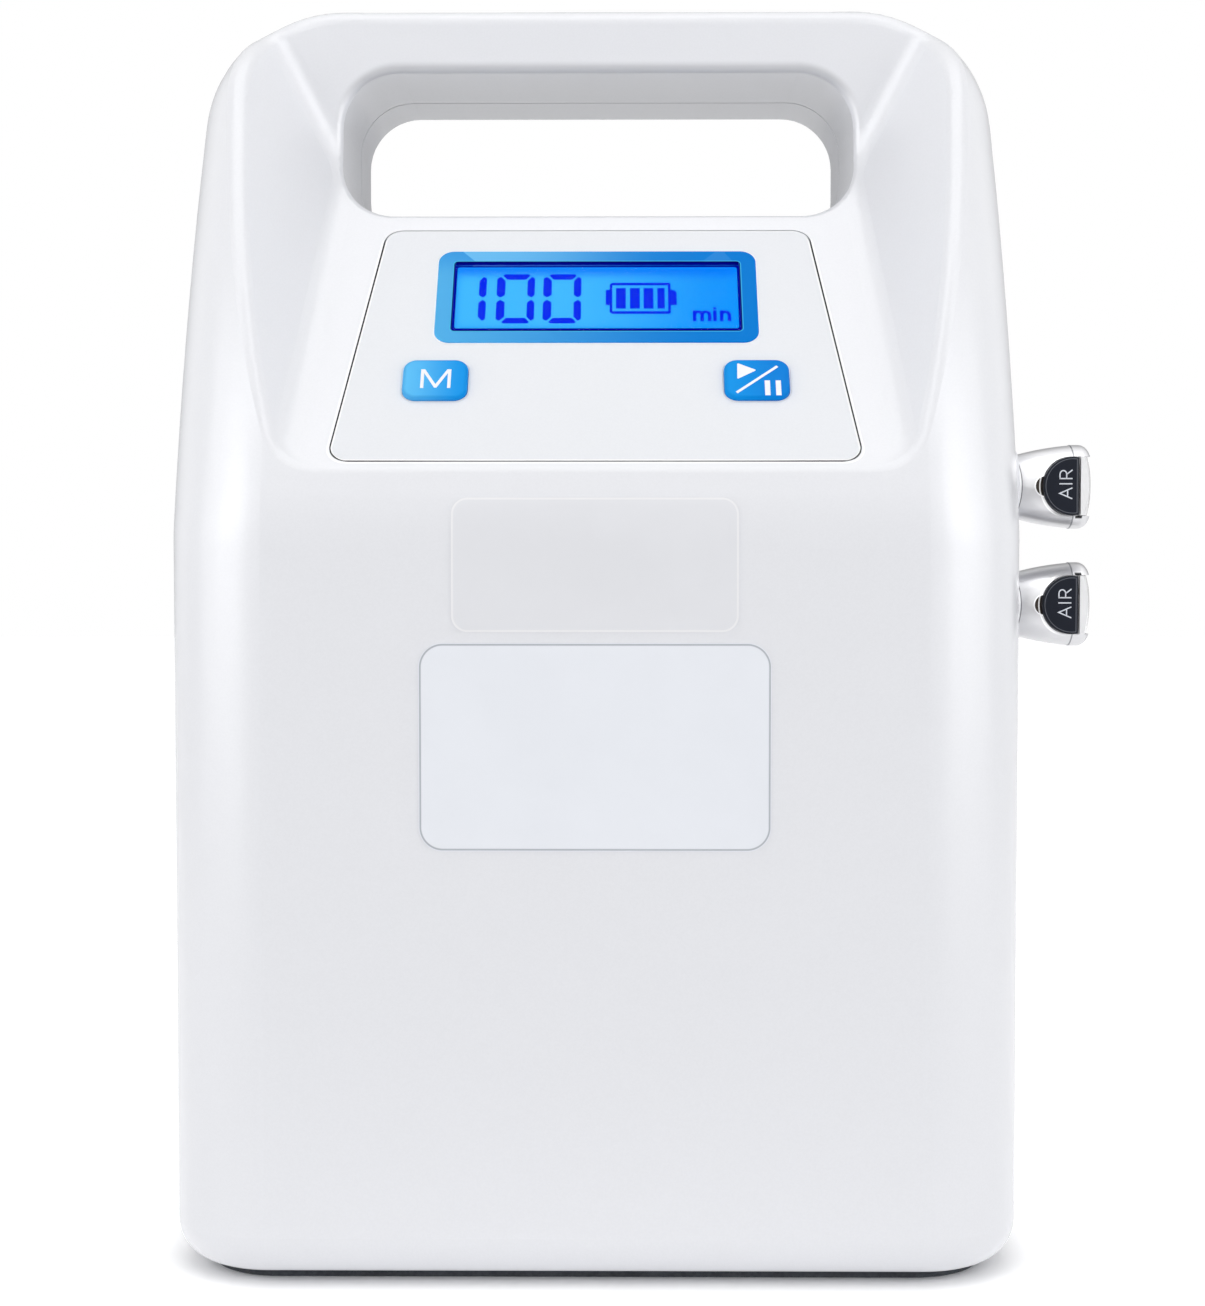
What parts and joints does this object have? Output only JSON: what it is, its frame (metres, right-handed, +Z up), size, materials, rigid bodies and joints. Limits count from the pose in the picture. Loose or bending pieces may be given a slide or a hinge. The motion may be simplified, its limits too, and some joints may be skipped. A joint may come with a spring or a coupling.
{
  "type": "compression therapy pump",
  "caption": "Portable air compression therapy pump: upright white housing with a carrying handle, sloping panel with display and keys, quick-release air couplers at the side.",
  "frame": {"origin": "on the standing surface, under the middle of the housing's 160 x 110 mm plan", "axes": "+Z up, +X to the right of someone facing the control panel, +Y towards the back"},
  "size_m": [0.175, 0.1103, 0.246],
  "materials": {
    "housing_white": "satin-gloss moulded white",
    "panel_white": "satin white plate",
    "bezel_blue": "glossy blue frame",
    "key_blue": "glossy blue key cap with white sign",
    "window_clear": "clear lens",
    "lcd_blue": "lit blue display with dark blue digits",
    "backlight_white": "white diffuser",
    "label_film": "bare stick-on film",
    "pad_black": "matte black pad",
    "coupler_silver": "satin silver plating",
    "plate_silver": "polished plate",
    "latch_black": "satin black thumb latch with light lettering",
    "seal_rubber": "black sealing ring",
    "steel": "zinc-plated steel",
    "board_green": "solder-masked board",
    "component_black": "moulded component bodies",
    "switch_black": "tact switch body",
    "hose_silicone": "translucent silicone tube",
    "chassis_grey": "moulded grey tray",
    "cell_wrap": "shrink-wrapped cell",
    "motor_steel": "plated motor can",
    "pump_black": "glass-filled nylon",
    "pump_rubber": "black rubber",
    "crank_brass": "turned brass",
    "manifold_white": "moulded acetal",
    "ribbon_grey": "flat cable"
  },
  "bodies": {
    "housing": {"front_housing": "housing_white", "rear_housing": "housing_white", "base_pad": "pad_black", "housing_screws": "steel", "lower_label": "label_film", "upper_label": "label_film", "control_panel": "panel_white", "display_bezel": "bezel_blue", "display_window": "window_clear", "lcd_glass": "lcd_blue", "lcd_backlight": "backlight_white", "mode_switch": "switch_black", "start_pause_switch": "switch_black", "panel_board": "board_green", "panel_board_screws": "steel", "chassis": "chassis_grey", "chassis_screws": "steel", "battery_cradle": "chassis_grey", "battery_cells": "cell_wrap", "pump_mounts": "pump_rubber", "pump_bracket": "steel", "pump_crankcase": "pump_black", "pump_motor": "motor_steel", "pump_rocker": "pump_black", "pump_diaphragm": "pump_rubber", "pump_head": "pump_black", "valve_manifold": "manifold_white", "pump_hose": "hose_silicone", "upper_air_hose": "hose_silicone", "lower_air_hose": "hose_silicone", "main_board": "board_green", "main_board_screws": "steel", "board_components": "component_black", "ribbon_cable": "ribbon_grey", "power_inlet": "switch_black", "upper_coupler_body": "coupler_silver", "upper_coupler_collar": "coupler_silver", "upper_latch_spring": "steel", "upper_coupler_seal": "seal_rubber", "upper_coupler_nut": "steel", "upper_valve_coil": "component_black", "lower_coupler_body": "coupler_silver", "lower_coupler_collar": "coupler_silver", "lower_latch_spring": "steel", "lower_coupler_seal": "seal_rubber", "lower_coupler_nut": "steel", "lower_valve_coil": "component_black"},
    "mode_key": {"mode_button": "key_blue", "mode_switch_plunger": "switch_black"},
    "start_pause_key": {"start_pause_button": "key_blue", "start_pause_switch_plunger": "switch_black"},
    "upper_latch": {"upper_latch_button": "latch_black", "upper_latch_plate": "plate_silver"},
    "lower_latch": {"lower_latch_button": "latch_black", "lower_latch_plate": "plate_silver"},
    "upper_valve": {"upper_valve_plunger": "steel"},
    "lower_valve": {"lower_valve_plunger": "steel"},
    "pump_rotor": {"pump_shaft": "steel", "pump_eccentric": "crank_brass"}
  },
  "joints": [
    {"name": "mode_key_press", "type": "slide", "parent": "housing", "child": "mode_key", "axis": [0, 0.766, -0.6428], "range_m": [0, 0.0006], "stiffness_N_per_m": 1500, "springref_m": -0.0004},
    {"name": "start_pause_key_press", "type": "slide", "parent": "housing", "child": "start_pause_key", "axis": [0, 0.766, -0.6428], "range_m": [0, 0.0006], "stiffness_N_per_m": 1500, "springref_m": -0.0004},
    {"name": "upper_latch_press", "type": "slide", "parent": "housing", "child": "upper_latch", "axis": [0, 1, 0], "range_m": [0, 0.0015], "stiffness_N_per_m": 900, "springref_m": -0.001, "deforming": ["upper_latch_spring"]},
    {"name": "lower_latch_press", "type": "slide", "parent": "housing", "child": "lower_latch", "axis": [0, 1, 0], "range_m": [0, 0.0015], "stiffness_N_per_m": 900, "springref_m": -0.001, "deforming": ["lower_latch_spring"]},
    {"name": "upper_valve_lift", "type": "slide", "parent": "housing", "child": "upper_valve", "axis": [0, 0, 1], "range_m": [0, 0.0008], "stiffness_N_per_m": 300, "springref_m": -0.001},
    {"name": "lower_valve_lift", "type": "slide", "parent": "housing", "child": "lower_valve", "axis": [0, 0, 1], "range_m": [0, 0.0008], "stiffness_N_per_m": 300, "springref_m": -0.001},
    {"name": "pump_spin", "type": "hinge", "parent": "housing", "child": "pump_rotor", "pos_m": [0.032, -0.023, 0.034], "axis": [1, 0, 0], "continuous": true}
  ]
}
